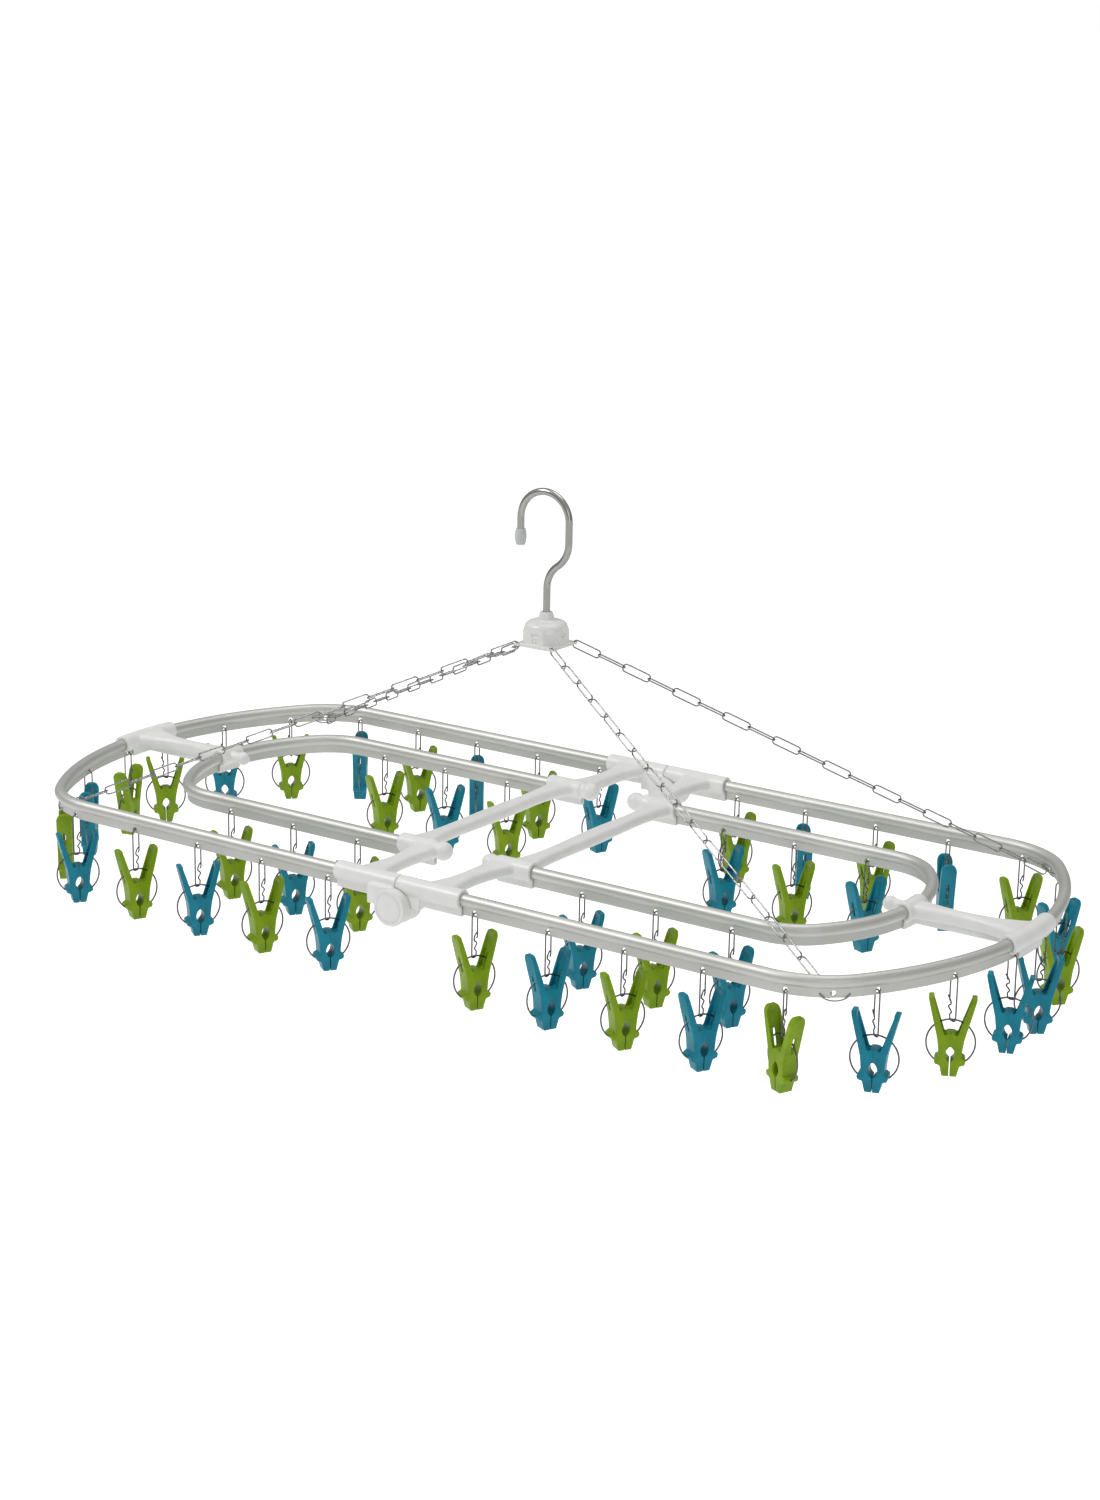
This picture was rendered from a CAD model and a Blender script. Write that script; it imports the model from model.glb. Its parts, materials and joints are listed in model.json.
import json
from math import cos, pi, radians, sin, sqrt

import bmesh
import bpy
from mathutils import Matrix, Vector


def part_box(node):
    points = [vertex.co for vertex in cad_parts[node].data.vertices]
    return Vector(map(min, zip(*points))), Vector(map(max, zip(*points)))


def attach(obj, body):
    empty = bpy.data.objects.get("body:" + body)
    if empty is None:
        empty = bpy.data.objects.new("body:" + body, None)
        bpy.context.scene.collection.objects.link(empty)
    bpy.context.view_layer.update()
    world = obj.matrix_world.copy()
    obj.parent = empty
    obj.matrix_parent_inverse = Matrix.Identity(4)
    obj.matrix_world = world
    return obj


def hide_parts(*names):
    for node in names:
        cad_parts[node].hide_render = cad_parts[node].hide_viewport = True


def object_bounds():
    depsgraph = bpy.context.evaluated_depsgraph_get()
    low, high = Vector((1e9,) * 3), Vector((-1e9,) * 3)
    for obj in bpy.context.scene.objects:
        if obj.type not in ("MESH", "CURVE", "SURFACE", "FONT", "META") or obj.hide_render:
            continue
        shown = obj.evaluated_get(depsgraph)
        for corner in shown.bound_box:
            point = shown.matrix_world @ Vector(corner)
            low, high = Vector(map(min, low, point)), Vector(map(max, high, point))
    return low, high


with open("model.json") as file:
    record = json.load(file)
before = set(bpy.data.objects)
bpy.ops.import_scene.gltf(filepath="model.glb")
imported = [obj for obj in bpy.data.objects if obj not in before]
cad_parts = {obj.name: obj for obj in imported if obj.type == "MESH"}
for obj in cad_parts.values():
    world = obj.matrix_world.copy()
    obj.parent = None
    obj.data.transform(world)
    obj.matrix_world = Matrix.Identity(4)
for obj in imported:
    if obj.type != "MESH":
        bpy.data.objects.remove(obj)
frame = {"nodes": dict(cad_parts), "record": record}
cad_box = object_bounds()

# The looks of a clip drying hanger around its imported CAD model. Metres, unless a name ends in _MM.
MM = 0.001
FRONT, BACK = -1, 1

# ---- camera and stage ----------------------------------------------------------------------------
CAMERA_AIM = (-0.0075, 0.0203, -0.2359)     # point in the hanger's middle that the camera looks at
CAMERA_DISTANCE = 2.579
CAMERA_AZIMUTH = radians(34.41)
CAMERA_ELEVATION = radians(15.80)
CAMERA_ROLL = radians(1.05)
CAMERA_LENS = 68.7
FLOOR_DROP = 0.55                           # floor below the hanger's lowest point
STAGE_SIZE = 300.0
ROOM_LIGHT = (0.20, 0.50)                   # at the horizon, where dark walls stand, and overhead
ROOM_LIGHT_RISE = (0.0, 0.5)                # z of the direction where it starts and stops growing
PAPER_GLOW = (0.22, 0.66)                   # light from the paper on the hanger, and as seen

# ---- clips, as in the CAD model ------------------------------------------------------------------
CLIP_WIRE_MM = 1.3
WIRE_SWELL_MM = 0.1                         # added to the radius of the ring's wire; its outside stays
RING_R_MM = 19.5
RING_Z_MM = -56.8
RING_GAP = radians(39)
RING_STEPS = 64
RING_END_MM = (-2.2, 0.5)                   # how the ring's ends turn in to the lugs: across, up
RING_BAND = 0.010                           # CAD points this near the ring's height, and at least
RING_REACH = 0.015                          # this far out from the hole, give the arms' direction
LINK_R_MM = 3.85
LINK_DEPTH = 0.012                          # CAD points above this depth give the link's direction
LATCH_TOP_MM = -18.2
ARM_HALF_MM = 7.0
ARM_WALL_MM = 1.9
SLOT_HALF_MM = 1.3
WEB_OVERLAP_MM = 0.2                        # how far an arm's webs and walls run into each other
ARM_TIP_Z = -0.0163
ARM_ROUND_Z = -0.0235                       # the finger end is rounded above this height
ARM_TIP_SHARE = 0.06                        # least squared share of the width left at the tip
JAW_TAPER_Z = -0.070                        # the jaw narrows below this height,
JAW_TAPER = 0.16                            # by this share of its width
JAW_LENGTH = 0.0136                         # over this length
ARM_VOXEL = 0.4 * MM
ARM_ROUNDS = 3
ARM_FACES = 5200

# ---- hinge caps and the ends of the chains -------------------------------------------------------
CAP_OUTLINE_MM = ((15.6, -0.2), (16.3, 0.3), (16.0, 1.1), (15.2, 1.5), (13.3, 1.6), (13.0, 1.25),
                  (12.6, 1.25), (12.3, 1.65), (8.0, 1.8), (0.4, 1.85))   # radius, height
CAP_SET_BACK = 0.0017
CHAIN_PULL = 0.0052                         # an end link is this much shorter than its CAD solid
CHAIN_END = {}                              # in the plan, by side and row, from add_chain_ends
FLANGE_HOLE_RISE = 0.0035                   # holes above the flange's lower edge
RIM_BAND = 0.001                            # vertices this near the flange's edge are its rim
RIM_POINTS = 24                             # rim vertices that give the flange's direction
TIE_WIRE_MM = 1.3
TIE_POINTS_MM = ((-11.6, 1.4, -0.8), (-9.5, 2.2, -3.2), (-5.0, 2.6, -5.2), (0, 2.6, -5.8), (5.0, 2.6, -5.2),
                 (9.5, 2.2, -3.2), (11.6, 1.4, -0.8), (11.9, -1.4, 0.3), (9.6, -3.8, 1.2), (0, -5.2, 1.9),
                 (-9.6, -3.8, 1.2), (-11.9, -1.4, 0.3))   # along the tube, outwards, up

# ---- hub and knobs -------------------------------------------------------------------------------
HUB_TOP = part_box("swivel_hub")[1].z
DOME_FLAT = 0.0184                          # half width across the dome's flats
DOME_INSIDE = 0.0074                        # the boss round the rod keeps its size
# depth below the hub's top, the CAD dome's radius there and the real, fuller dome's
DOME_PROFILE = ((0.0170, 0.0205, 0.0205), (0.0140, 0.0193, 0.0201), (0.0114, 0.0163, 0.0185),
                (0.0090, 0.0120, 0.0148), (0.0073, 0.0080, 0.0098), (0.0068, 0.0076, 0.0076))
KNOB_PLACE = Vector((0.0255, 0.115, -0.3008))   # middle of a centre frame's knob
KNOB_CORE = (0.0080, 0.0070, 0.012)         # radius of the knob, radius and length of its neck
KNOB_SIDES = 48

# ---- mesh building -------------------------------------------------------------------------------
WELD = 1e-6                                 # vertices this near each other become one
WIRE_END_DOME = 0.6                         # height of a wire's end dome, as a share of its radius


def link_object(name, mesh):
    """New object in the scene's own collection."""
    piece = bpy.data.objects.new(name, mesh)
    bpy.context.scene.collection.objects.link(piece)
    return piece


def mesh_from(built, name):
    """New mesh from a bmesh, which is freed."""
    mesh = bpy.data.meshes.new(name)
    built.to_mesh(mesh)
    built.free()
    return mesh


def shade_smooth(mesh):
    """Smooth shading on every face."""
    mesh.polygons.foreach_set("use_smooth", [True] * len(mesh.polygons))


def look_at(obj, target):
    """Turns a light so that it faces a point."""
    obj.rotation_euler = (Vector(target) - obj.location).to_track_quat("-Z", "Y").to_euler()


def add_camera():
    """Camera at the hanger's right front, slightly above the rings."""
    a, e, r = CAMERA_AZIMUTH, CAMERA_ELEVATION, CAMERA_ROLL
    back = Vector((sin(a) * cos(e), -cos(a) * cos(e), sin(e)))
    level = Vector((cos(a), sin(a), 0))
    up = back.cross(level)
    right = cos(r) * level + sin(r) * up
    camera = link_object("camera", bpy.data.cameras.new("camera"))
    camera.data.sensor_width = 36
    camera.data.lens = CAMERA_LENS
    camera.data.clip_end = 50
    turn = Matrix((right, back.cross(right), back)).transposed().to_4x4()
    camera.matrix_world = Matrix.Translation(Vector(CAMERA_AIM) + back * CAMERA_DISTANCE) @ turn
    bpy.context.scene.camera = camera


def add_light(name, location, size, power):
    """Soft square light that faces the hanger."""
    data = bpy.data.lights.new(name, "AREA")
    data.size = size
    data.energy = power
    light = link_object(name, data)
    light.location = location
    look_at(light, CAMERA_AIM)


def add_stage():
    """Pale floor and white surroundings."""
    floor_z = cad_box[0].z - FLOOR_DROP
    mesh = bpy.data.meshes.new("floor")
    half = STAGE_SIZE / 2
    square = [(x * half, y * half, floor_z) for x, y in ((-1, -1), (1, -1), (1, 1), (-1, 1))]
    mesh.from_pydata(square, [], [(0, 1, 2, 3)])
    floor = link_object("floor", mesh)
    floor.data.materials.append(paper_material())
    world = bpy.data.worlds.new("studio")
    world.use_nodes = True
    nodes, links = world.node_tree.nodes, world.node_tree.links
    soft = nodes["Background"]
    place, split, height = (nodes.new("ShaderNode" + k) for k in ("TexCoord", "SeparateXYZ", "MapRange"))
    for ends, values in (("From", ROOM_LIGHT_RISE), ("To", ROOM_LIGHT)):
        height.inputs[ends + " Min"].default_value = values[0]
        height.inputs[ends + " Max"].default_value = values[1]
    links.new(place.outputs["Generated"], split.inputs["Vector"])
    links.new(split.outputs["Z"], height.inputs["Value"])
    links.new(height.outputs["Result"], soft.inputs["Strength"])
    seen = nodes.new("ShaderNodeBackground")
    for background in (soft, seen):
        background.inputs["Color"].default_value = (1, 1, 1, 1)
    path = nodes.new("ShaderNodeLightPath")
    mix = nodes.new("ShaderNodeMixShader")
    links.new(path.outputs["Is Camera Ray"], mix.inputs["Fac"])
    links.new(soft.outputs[0], mix.inputs[1])
    links.new(seen.outputs[0], mix.inputs[2])
    links.new(mix.outputs[0], nodes["World Output"].inputs["Surface"])
    bpy.context.scene.world = world
    bpy.context.scene.view_settings.view_transform = "Standard"


# ---- materials -----------------------------------------------------------------------------------
class Nodes:
    """Short calls for building one material's node tree."""

    def __init__(self, name):
        self.material = bpy.data.materials.new(name)
        self.material.use_nodes = True
        self.tree = self.material.node_tree
        self.shader = self.tree.nodes["Principled BSDF"]

    def add(self, kind, **settings):
        """New node; settings are sockets by name, with _ for a space, or attributes in lower case."""
        node = self.tree.nodes.new("ShaderNode" + kind)
        for key, value in settings.items():
            if key[0].isupper():
                node.inputs[key.replace("_", " ")].default_value = value
            else:
                setattr(node, key, value)
        return node

    def join(self, source, target, socket, output=0):
        """Link from a node's output to a node's named input."""
        self.tree.links.new(source.outputs[output], target.inputs[socket])

    def noise(self, scale, detail=3.0, stretch=None):
        """Noise in object coordinates, stretched if asked."""
        place = self.add("TexCoord")
        noise = self.add("TexNoise", Scale=scale, Detail=detail)
        if stretch:
            mapping = self.add("Mapping", Scale=stretch)
            self.join(place, mapping, "Vector", "Object")
            self.join(mapping, noise, "Vector")
        else:
            self.join(place, noise, "Vector", "Object")
        return noise

    def spread(self, source, low, high, socket):
        """Drives a shader socket from a texture, between two values."""
        ramp = self.add("MapRange", To_Min=low, To_Max=high)
        self.join(source, ramp, "Value")
        self.join(ramp, self.shader, socket)

    def tint(self, source, dark, light, low=0.3, high=0.7):
        """Base colour between two colours, by a texture."""
        ramp = self.add("ValToRGB")
        ramp.color_ramp.elements[0].position = low
        ramp.color_ramp.elements[1].position = high
        ramp.color_ramp.elements[0].color = dark + (1,)
        ramp.color_ramp.elements[1].color = light + (1,)
        self.join(source, ramp, "Fac")
        self.join(ramp, self.shader, "Base Color")

    def bump(self, source, distance, strength=0.5):
        """Fine relief from a texture."""
        bump = self.add("Bump", Strength=strength, Distance=distance)
        self.join(source, bump, "Height")
        self.join(bump, self.shader, "Normal")


def paper_material():
    """Glowing white paper for the stage."""
    made = Nodes("stage_paper")
    made.tint(made.noise(3.0), (0.92, 0.92, 0.92), (0.93, 0.93, 0.93))
    made.shader.inputs["Roughness"].default_value = 0.9
    made.shader.inputs["Emission Color"].default_value = (1, 1, 1, 1)
    path = made.add("LightPath")
    glow = made.add("MapRange", To_Min=PAPER_GLOW[0], To_Max=PAPER_GLOW[1])
    made.join(path, glow, "Value", "Is Camera Ray")
    made.join(glow, made.shader, "Emission Strength")
    return made.material


def aluminium(name, dark, light, rough, streak):
    """Anodised or drawn aluminium with fine lines along X and soft cloudiness."""
    made = Nodes(name)
    made.shader.inputs["Metallic"].default_value = 1.0
    made.tint(made.noise(9.0, 4.0), dark, light)
    lines = made.noise(1.0, 5.0, streak)
    made.spread(lines, rough[0], rough[1], "Roughness")
    made.bump(lines, 0.00004, 0.25)
    return made.material


def moulded_plastic(name, dark, light, rough, glow, coat, gloss=0.5):
    """Moulded plastic: mottled colour, a faint orange-peel skin and a little light passing inside."""
    made = Nodes(name)
    shader = made.shader
    made.tint(made.noise(60.0, 3.0), dark, light)
    made.spread(made.noise(220.0, 2.0), rough[0], rough[1], "Roughness")
    made.bump(made.noise(900.0, 2.0), 0.00003, 0.3)
    shader.inputs["Subsurface Weight"].default_value = glow
    shader.inputs["Subsurface Radius"].default_value = (1.0, 1.0, 1.0)
    shader.inputs["Subsurface Scale"].default_value = 0.003
    shader.inputs["Specular IOR Level"].default_value = gloss
    shader.inputs["Coat Weight"].default_value = coat
    shader.inputs["Coat Roughness"].default_value = 0.12
    shader.inputs["IOR"].default_value = 1.49
    return made.material


def steel_wire(name, dark, light, rough):
    """Plated wire with faint drawing marks."""
    made = Nodes(name)
    made.shader.inputs["Metallic"].default_value = 1.0
    grain = made.noise(700.0, 3.0)
    made.tint(grain, dark, light)
    made.spread(grain, rough[0], rough[1], "Roughness")
    return made.material


def make_materials():
    """One material for each of the record's slots."""
    return {
        "ring_aluminium": aluminium(
            "satin_anodised", (0.61, 0.61, 0.58), (0.68, 0.68, 0.65), (0.48, 0.58), (4.0, 700.0, 700.0)),
        "hook_aluminium": aluminium(
            "bright_drawn", (0.36, 0.36, 0.35), (0.50, 0.50, 0.48), (0.16, 0.24), (900.0, 900.0, 12.0)),
        "chain_steel": steel_wire("bright_plated", (0.20, 0.20, 0.20), (0.42, 0.42, 0.42), (0.16, 0.30)),
        "frame_plastic": moulded_plastic(
            "white_moulded", (0.79, 0.79, 0.77), (0.84, 0.84, 0.82), (0.30, 0.38), 0.03, 0.15, 0.4),
        "hub_plastic": moulded_plastic(
            "white_translucent", (0.76, 0.76, 0.74), (0.81, 0.81, 0.79), (0.22, 0.32), 0.06, 0.4),
        "tip_plastic": moulded_plastic(
            "grey_matte", (0.56, 0.57, 0.57), (0.62, 0.63, 0.63), (0.42, 0.52), 0.05, 0.0),
        "pin_plastic": moulded_plastic(
            "white_pin", (0.70, 0.70, 0.68), (0.75, 0.75, 0.73), (0.3, 0.38), 0.03, 0.15),
        "clip_green": moulded_plastic(
            "lime_green", (0.18, 0.31, 0.001), (0.27, 0.42, 0.002), (0.26, 0.38), 0.1, 0.04, 0.24),
        "clip_blue": moulded_plastic(
            "turquoise_blue", (0.002, 0.185, 0.27), (0.004, 0.27, 0.38), (0.26, 0.38), 0.1, 0.04, 0.24),
        "clip_wire": steel_wire("spring_wire", (0.10, 0.10, 0.10), (0.22, 0.22, 0.22), (0.20, 0.34)),
    }


# ---- mesh helpers --------------------------------------------------------------------------------
def finished_mesh(piece, name):
    """The mesh with its modifiers applied; the helper object is removed."""
    depsgraph = bpy.context.evaluated_depsgraph_get()
    mesh = bpy.data.meshes.new_from_object(piece.evaluated_get(depsgraph))
    mesh.name = name
    bpy.data.objects.remove(piece)
    return mesh


def rounded_by_voxels(mesh, name, voxel, rounds, faces, warp=None):
    """Remeshes a closed mesh, rounds its edges and corners, then thins it to about so many faces."""
    joined = bmesh.new()
    joined.from_mesh(mesh)
    bmesh.ops.remove_doubles(joined, verts=joined.verts, dist=WELD)
    joined.to_mesh(mesh)
    joined.free()
    piece = link_object(name + "_work", mesh)
    remesh = piece.modifiers.new("remesh", "REMESH")
    remesh.mode = "VOXEL"
    remesh.voxel_size = voxel
    dense = finished_mesh(piece, name + "_dense")
    if warp:
        for vertex in dense.vertices:
            vertex.co = warp(vertex.co)
    piece = link_object(name + "_work", dense)
    smooth = piece.modifiers.new("smooth", "SMOOTH")
    smooth.factor = 0.5
    smooth.iterations = rounds
    thin = piece.modifiers.new("thin", "DECIMATE")
    thin.ratio = min(1.0, faces / max(1, 2 * len(dense.polygons)))
    made = finished_mesh(piece, name)
    shade_smooth(made)
    return made


def prism(outline, y0, y1, target):
    """Adds a closed prism to a bmesh: an outline of (x, z) points, from y0 to y1, all in millimetres."""
    near = [target.verts.new((x * MM, y0 * MM, z * MM)) for x, z in outline]
    far = [target.verts.new((x * MM, y1 * MM, z * MM)) for x, z in outline]
    target.faces.new(near)
    target.faces.new(list(reversed(far)))
    for k in range(len(outline)):
        j = (k + 1) % len(outline)
        target.faces.new((near[j], near[k], far[k], far[j]))


def arc_points(centre, radius, start, end, count):
    """Points on an arc in a plane, angles in degrees."""
    angles = [radians(start + (end - start) * k / (count - 1)) for k in range(count)]
    return [(centre[0] + radius * cos(a), centre[1] + radius * sin(a)) for a in angles]


def smooth_path(points, steps, closed=False):
    """Catmull-Rom curve through points."""
    count = len(points)
    path = []
    for k in range(count if closed else count - 1):
        around = [points[(k + j) % count if closed else min(max(k + j, 0), count - 1)]
                  for j in (-1, 0, 1, 2)]
        before, here, there, after = (Vector(p) for p in around)
        for step in range(steps):
            t = step / steps
            path.append(0.5 * (2 * here + (there - before) * t
                               + (2 * before - 5 * here + 4 * there - after) * t ** 2
                               + (3 * here - before - 3 * there + after) * t ** 3))
    if not closed:
        path.append(Vector(points[-1]))
    return path


def tube_mesh(name, path, radius, sides=10, closed=False):
    """Round wire along a path, its ends closed with small domes."""
    built = bmesh.new()
    count = len(path)
    rings = []
    normal = None
    for k, point in enumerate(path):
        before = path[(k - 1) % count] if closed else path[max(k - 1, 0)]
        after = path[(k + 1) % count] if closed else path[min(k + 1, count - 1)]
        along = (after - before).normalized()
        if normal is None:
            normal = along.orthogonal().normalized()
        normal = (normal - along * normal.dot(along)).normalized()
        side = along.cross(normal)
        rings.append([built.verts.new(point + radius * (cos(a) * normal + sin(a) * side))
                      for a in (2 * pi * j / sides for j in range(sides))])
    for k in range(count if closed else count - 1):
        one, two = rings[k], rings[(k + 1) % count]
        for j in range(sides):
            built.faces.new((one[j], one[(j + 1) % sides], two[(j + 1) % sides], two[j]))
    if not closed:
        for ring, end, inner in ((rings[0], path[0], path[1]), (rings[-1], path[-1], path[-2])):
            tip = built.verts.new(end + (end - inner).normalized() * radius * WIRE_END_DOME)
            for j in range(sides):
                built.faces.new((ring[j], ring[(j + 1) % sides], tip))
    bmesh.ops.recalc_face_normals(built, faces=built.faces)
    mesh = mesh_from(built, name)
    shade_smooth(mesh)
    return mesh


def dress(piece, body, material):
    """Body, slot and material of a new piece."""
    piece.data.materials.clear()
    piece.data.materials.append(material)
    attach(piece, body)
    return piece


# ---- clips ---------------------------------------------------------------------------------------
def arm_outlines():
    """Side wall, web beside the slot, web above the slot and body below it, as (x, z) outlines."""
    tip = arc_points((16.9, -18.7), 2.3, 160, 10, 9)
    outer = [(15.0, -35.5), (12.5, -45.0), (10.7, -52.5), (9.7, -60.0), (9.1, -67.6), (11.8, -69.0),
             (12.4, -71.2), (11.6, -73.4), (7.9, -74.6), (5.8, -83.6)]
    lens = arc_points((-4.2, -64.9), 7.9, -53, 53, 13)
    inner = [(0.4, -83.6), (0.4, -76.0), (0.4, -71.2)] + lens + [(-0.1, -58.4)]
    hump = [(-0.1, -47.7), (1.8, -47.8), (3.2, -48.2), (4.3, -49.2)]
    skin = [(9.0, -49.0), (10.3, -44.0), (13.0, -33.5), (15.0, -22.5)]
    wall = inner + hump + [(5.4, -48.6), (14.7, -20.4)] + tip + outer
    web = inner + hump + [(5.4, -50.6)] + skin + tip + outer
    top_web = [(12.5, -36.0), (13.0, -33.5), (15.0, -22.5)] + tip + [(14.9, -36.0)]
    low_body = inner + hump + [(5.4, -50.6), (8.8, -49.6), (11.2, -50.2)] + outer[2:]
    return wall, web, top_web, low_body


def arm_width(point):
    """Pulls an arm's sides in: a round end at the finger tip and a slight taper to the jaw."""
    x, y, z = point
    scale = 1.0
    if z > ARM_ROUND_Z:
        rise = (z - ARM_ROUND_Z) / (ARM_TIP_Z - ARM_ROUND_Z)
        scale = sqrt(max(ARM_TIP_SHARE, 1 - rise ** 2))
    elif z < JAW_TAPER_Z:
        scale = 1 - JAW_TAPER * (JAW_TAPER_Z - z) / JAW_LENGTH
    return Vector((x, y * scale, z))


def arm_mesh():
    """One clip arm, on the right: two side walls, a web with the ring's slot, and a solid jaw."""
    wall, web, top_web, low_body = arm_outlines()
    built = bmesh.new()
    half, inside = ARM_HALF_MM, ARM_HALF_MM - ARM_WALL_MM
    for side in (FRONT, BACK):
        prism(wall, *sorted((side * inside, side * half)), built)
        prism(web, *sorted((side * SLOT_HALF_MM, side * (inside + WEB_OVERLAP_MM))), built)
    for outline in (top_web, low_body):
        prism(outline, -SLOT_HALF_MM - WEB_OVERLAP_MM, SLOT_HALF_MM + WEB_OVERLAP_MM, built)
    bmesh.ops.recalc_face_normals(built, faces=built.faces)
    blank = mesh_from(built, "arm_blank")
    return rounded_by_voxels(blank, "clip_arm", ARM_VOXEL, ARM_ROUNDS, ARM_FACES, arm_width)


def mirrored(mesh, name):
    """The same mesh on the other side of X = 0."""
    built = bmesh.new()
    built.from_mesh(mesh)
    for vertex in built.verts:
        vertex.co.x = -vertex.co.x
    bmesh.ops.reverse_faces(built, faces=built.faces)
    return mesh_from(built, name)


def both_arms(right, left, name):
    """Both arms as one mesh."""
    built = bmesh.new()
    built.from_mesh(right)
    built.from_mesh(left)
    return mesh_from(built, name)


def ring_mesh():
    """Open spring ring whose ends turn in to the arms' lugs."""
    r = RING_R_MM - WIRE_SWELL_MM
    points = []
    for k in range(RING_STEPS + 1):
        a = RING_GAP + (2 * pi - 2 * RING_GAP) * k / RING_STEPS
        points.append(Vector((r * sin(a), 0, RING_Z_MM - r * cos(a))) * MM)
    inward = Vector((RING_END_MM[0], 0, RING_END_MM[1])) * MM
    path = [points[0] + inward] + points + [points[-1] + Vector((-inward.x, 0, inward.z))]
    return tube_mesh("clip_ring", path, (CLIP_WIRE_MM / 2 + WIRE_SWELL_MM) * MM)


def link_mesh():
    """Wire link in the XZ plane: over the tube's hole, down one leg, round the ring, and up to a latch."""
    r = LINK_R_MM
    low = RING_Z_MM + RING_R_MM - CLIP_WIRE_MM
    top = [(x, 0, z) for x, z in arc_points((0, -r), r, 0, 180, 9)]
    leg = [(-r, 0, -12), (-r, 0, -22), (-r, 0, low + 3.0), (-r + 0.9, 0, low + 0.5), (-r + 2.6, 0, low)]
    latch = [(0.6, 0, low), (2.0, 0.2, low + 0.9), (2.6, 0.3, -34.0), (0.7, 0.5, -31.2), (3.7, 0.7, -28.0),
             (3.2, 0.9, -26.4), (0.9, 1.1, -24.4), (1.5, 1.3, -21.6), (3.3, 1.4, -19.2),
             (4.9, 0.9, LATCH_TOP_MM)]
    hook = [(r - 0.9, 0.2, -22.6), (r, 0, -20.6), (r, 0, -12)]
    points = [Vector(p) * MM for p in hook + top + leg + latch]
    return tube_mesh("clip_link", smooth_path(points, steps=4), CLIP_WIRE_MM / 2 * MM)


def heading(points):
    """Unit vector in the plan along which the points spread most."""
    xx = sum(p.x * p.x for p in points)
    yy = sum(p.y * p.y for p in points)
    xy = sum(p.x * p.y for p in points)
    middle, half = (xx + yy) / 2, sqrt(((xx - yy) / 2) ** 2 + xy ** 2)
    along = Vector((xy, middle + half - xx, 0)) if abs(xy) > 1e-12 else Vector((xx >= yy, xx < yy, 0))
    return along.normalized()


def clip_place(points):
    """Hole, arms' direction and link's direction of one clip, from its CAD vertices."""
    low = Vector(map(min, *points))
    high = Vector(map(max, *points))
    hole = Vector(((low.x + high.x) / 2, (low.y + high.y) / 2, high.z - CLIP_WIRE_MM / 2 * MM))
    seen = [p - hole for p in points]
    ring = [p for p in seen
            if abs(p.z - RING_Z_MM * MM) < RING_BAND and Vector((p.x, p.y)).length > RING_REACH]
    link = [p for p in seen if p.z > -LINK_DEPTH]
    return hole, heading(ring), heading(link)


def stand(hole, along):
    """Matrix that puts a clip piece at its hole, with its X along the given direction."""
    across = Vector((-along.y, along.x, 0))
    turn = Matrix((along, across, Vector((0, 0, 1)))).transposed().to_4x4()
    return Matrix.Translation(hole) @ turn


def corners(*nodes):
    """All vertices of some CAD nodes."""
    return [v.co.copy() for n in nodes for v in frame["nodes"][n].data.vertices]


def node_slot(node):
    """Material slots that the record gives a node."""
    return [m.name for m in frame["nodes"][node].data.materials]


def add_clip(name, body, nodes, points, colour, shapes, moving=None):
    """One clip: arms, spring ring and link, in place of its CAD solids."""
    hole, arms_along, link_along = clip_place(points)
    slot = "clip_" + colour
    if moving:
        arms = link_object(name + "_fixed_arm", shapes["left_" + colour])
        turning = link_object(name + "_moving_arm", shapes["right_" + colour])
        turning.matrix_world = stand(hole, arms_along)
        dress(turning, moving, materials[slot])
        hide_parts(moving)
    else:
        arms = link_object(name + "_arms", shapes["arms_" + colour])
    ring = link_object(name + "_ring", shapes["ring"])
    link = link_object(name + "_link", shapes["link"])
    for piece, along, piece_slot in ((arms, arms_along, slot), (ring, arms_along, "clip_wire"),
                                     (link, link_along, "clip_wire")):
        piece.matrix_world = stand(hole, along)
        dress(piece, body, materials[piece_slot])
        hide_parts(*nodes)


def add_clips():
    """Every clip of the hanger, where the CAD model has it."""
    right = arm_mesh()
    left = mirrored(right, "clip_arm_left")
    shapes = {"ring": ring_mesh(), "link": link_mesh()}
    for colour in ("green", "blue"):
        shapes["right_" + colour] = right.copy()
        shapes["left_" + colour] = left.copy()
        shapes["arms_" + colour] = both_arms(right, left, "clip_arms_" + colour)
        for side in ("right_", "left_", "arms_"):
            shade_smooth(shapes[side + colour])
    bodies = frame["record"]["behaviour"]["bodies"]
    for body, nodes in bodies.items():
        if not body.startswith("clip") or body.endswith("_arm"):
            continue
        node = nodes[0]
        colour = "green" if any("green" in slot for slot in node_slot(node)) else "blue"
        arm = node + "_arm"
        if arm in frame["nodes"]:
            add_clip(node, body, [node], corners(node, arm), colour, shapes, moving=arm)
        elif node == "clips_right_end_pair":
            for row, sign in (("front", FRONT), ("back", BACK)):
                add_clip("clip_right_%s_8" % row, body, [node],
                         [p for p in corners(node) if p.y * sign > 0], colour, shapes)
        else:
            add_clip(node, body, [node], corners(node), colour, shapes)


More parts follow.
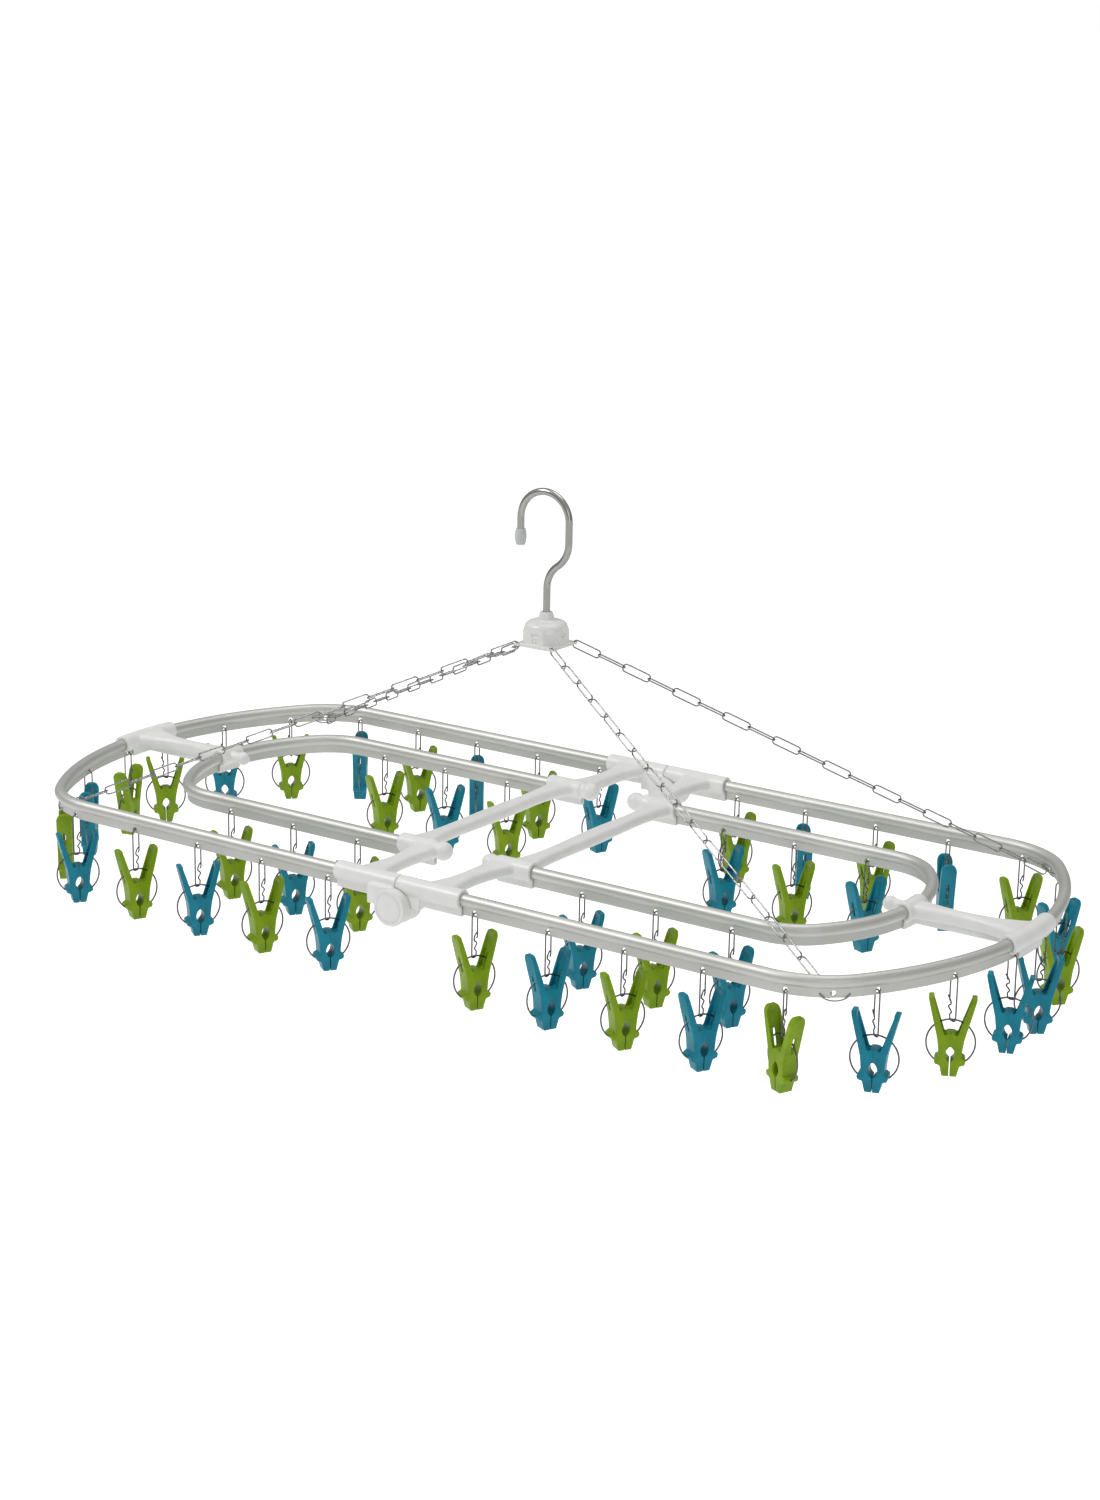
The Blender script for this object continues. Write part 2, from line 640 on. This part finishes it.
# ---- chain ends and hinge caps -------------------------------------------------------------------
def lathe(name, outline, centre, axis, sides=64):
    """Round solid: (radius, height) points turned about an axis through a centre, all in millimetres."""
    axis = Vector(axis).normalized()
    one = axis.orthogonal().normalized()
    two = axis.cross(one)
    built = bmesh.new()
    rings = []
    for radius, height in outline:
        middle = Vector(centre) + axis * height * MM
        rings.append([built.verts.new(middle + radius * MM * (cos(a) * one + sin(a) * two))
                      for a in (2 * pi * k / sides for k in range(sides))])
    for low, high in zip(rings, rings[1:]):
        for k in range(sides):
            built.faces.new((low[k], low[(k + 1) % sides], high[(k + 1) % sides], high[k]))
    built.faces.new(rings[0])
    built.faces.new(rings[-1])
    bmesh.ops.recalc_face_normals(built, faces=built.faces)
    mesh = mesh_from(built, name)
    mesh.polygons.foreach_set("use_smooth", [len(p.vertices) == 4 for p in mesh.polygons])
    return mesh


def add_hinge_caps():
    """Round caps with a ring groove over the outer leaves of the two hinges."""
    low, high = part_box("hinge_pins")
    height = (low.z + high.z) / 2
    for row, face in (("front", low.y + CAP_SET_BACK), ("back", high.y - CAP_SET_BACK)):
        sign = FRONT if row == "front" else BACK
        mesh = lathe("hinge_cap_" + row, CAP_OUTLINE_MM, (0, face, height), (0, sign, 0))
        cap = link_object("hinge_cap_" + row, mesh)
        dress(cap, "left_half", materials["frame_plastic"])


def islands(built):
    """Separate pieces of a bmesh, as lists of vertices."""
    left = set(built.verts)
    found = []
    while left:
        wave = [left.pop()]
        piece = []
        while wave:
            vertex = wave.pop()
            piece.append(vertex)
            for edge in vertex.link_edges:
                other = edge.other_vert(vertex)
                if other in left:
                    left.remove(other)
                    wave.append(other)
        found.append(piece)
    return found


def tie_path(side, row, tube):
    """Wire loop through the ring's flange at the chain's end: an arc below the flange and one behind it."""
    sx, sy = (1 if side == "right" else -1), (FRONT if row == "front" else BACK)
    edge = [v.co for v in frame["nodes"][tube].data.vertices]
    bottom = min(p.z for p in edge)
    rim = [p for p in edge if p.z < bottom + RIM_BAND and p.y * sy > 0]
    near = min(rim, key=lambda p: (Vector((p.x, p.y)) - CHAIN_END[side, row]).length)
    around = sorted(rim, key=lambda p: (p - near).length)[:RIM_POINTS]
    middle = sum(around, Vector()) / len(around)
    along = heading([p - middle for p in around])
    out = Vector((-along.y, along.x, 0))
    if out.dot(Vector((sx, sy, 0))) < 0:
        out = -out
    origin = Vector((CHAIN_END[side, row].x, CHAIN_END[side, row].y, bottom + FLANGE_HOLE_RISE))
    origin += out * out.dot(middle - origin)
    return [origin + MM * (t * along + n * out) + Vector((0, 0, z * MM)) for t, n, z in TIE_POINTS_MM]


def add_chain_ends():
    """Lower chains, whose end links stop behind the ring, and the wire loops that hold them."""
    for side in ("left", "right"):
        node = "chain_%s_lower" % side
        built = bmesh.new()
        built.from_mesh(frame["nodes"][node].data)
        bmesh.ops.remove_doubles(built, verts=built.verts, dist=WELD)
        found = islands(built)
        for row, sy in (("front", FRONT), ("back", BACK)):
            own = [p for p in found if p[0].co.y * sy > 0]
            last = max(own, key=lambda p: max(abs(v.co.x) for v in p))
            start = min((v.co.copy() for v in last), key=lambda c: abs(c.x))
            end = max((v.co.copy() for v in last), key=lambda c: abs(c.x))
            CHAIN_END[side, row] = Vector((end.x, end.y))
            along = (end - start).normalized()
            for vertex in last:
                reach = (vertex.co - start).dot(along)
                vertex.co -= along * reach * CHAIN_PULL / (end - start).length
        mesh = mesh_from(built, node + "_links")
        shade_smooth(mesh)
        links = link_object(node + "_links", mesh)
        dress(links, node, materials["chain_steel"])
        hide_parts(node)
        for row in ("front", "back"):
            path = smooth_path(tie_path(side, row, "outer_tube_" + side), steps=5, closed=True)
            tie = link_object("chain_tie_%s_%s" % (side, row),
                              tube_mesh("chain_tie", path, TIE_WIRE_MM / 2 * MM, closed=True))
            dress(tie, side + "_half", materials["chain_steel"])


# ---- frames, hub and the CAD nodes that stay -----------------------------------------------------
def fuller_dome(point):
    """Fills the shoulder of the hub's dome, between its flats and its collar."""
    down = HUB_TOP - point.z
    radius = Vector((point.x, point.y)).length
    if radius < DOME_INSIDE:
        return point
    for (low, r0, t0), (high, r1, t1) in zip(DOME_PROFILE, DOME_PROFILE[1:]):
        if high <= down <= low:
            part = (low - down) / (low - high)
            scale = (t0 + (t1 - t0) * part) / (r0 + (r1 - r0) * part)
            x, y = (max(-DOME_FLAT, min(DOME_FLAT, c * scale)) for c in (point.x, point.y))
            return Vector((x, y, point.z))
    return point


SOFTENED = (
    # node, body, slot, voxel, smoothing rounds, faces, warp
    ("centre_frame_left", "left_half", "frame_plastic", 0.7 * MM, 6, 36000, None),
    ("centre_frame_right", "right_half", "frame_plastic", 0.7 * MM, 6, 36000, None),
    ("end_brace_left", "left_half", "frame_plastic", 0.6 * MM, 6, 16000, None),
    ("end_brace_right", "right_half", "frame_plastic", 0.6 * MM, 6, 16000, None),
    ("swivel_hub", "hub", "hub_plastic", 0.3 * MM, 3, 24000, fuller_dome),
)


def fill_knobs(mesh, side):
    """Solid cores in the two knobs of a centre frame."""
    built = bmesh.new()
    built.from_mesh(mesh)
    knob_r, neck_r, neck_length = KNOB_CORE
    for row in (FRONT, BACK):
        place = Vector((side * KNOB_PLACE.x, row * KNOB_PLACE.y, KNOB_PLACE.z))
        bmesh.ops.create_uvsphere(built, u_segments=KNOB_SIDES, v_segments=KNOB_SIDES // 2, radius=knob_r,
                                  matrix=Matrix.Translation(place))
        place.x += side * neck_length / 2
        bmesh.ops.create_cone(built, cap_ends=True, segments=KNOB_SIDES, radius1=neck_r, radius2=neck_r,
                              depth=neck_length,
                              matrix=Matrix.Translation(place) @ Matrix.Rotation(pi / 2, 4, "Y"))
    built.to_mesh(mesh)
    built.free()


def add_mouldings():
    """Moulded pieces with rounded edges and filleted joints."""
    for node, body, slot, voxel, rounds, faces, warp in SOFTENED:
        mesh = frame["nodes"][node].data.copy()
        if node.startswith("centre_frame"):
            fill_knobs(mesh, 1 if node.endswith("right") else -1)
        mesh = rounded_by_voxels(mesh, node + "_moulding", voxel, rounds, faces, warp)
        piece = link_object(node + "_moulding", mesh)
        dress(piece, body, materials[slot])
        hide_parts(node)


def dress_cad_nodes():
    """Gives every CAD node that stays the material of its own slot."""
    for obj in frame["nodes"].values():
        for slot in obj.material_slots:
            name = slot.material.name.split(".")[0]
            slot.material = materials.get(name, slot.material)


materials = make_materials()
add_camera()
add_stage()
add_light("key", location=(-1.8, -1.6, 2.4), size=1.2, power=42)
add_light("fill", location=(2.4, -1.8, 0.6), size=1.8, power=9)
add_light("top", location=(0.2, 0.6, 2.4), size=1.6, power=16)
add_clips()
add_mouldings()
add_hinge_caps()
add_chain_ends()
dress_cad_nodes()
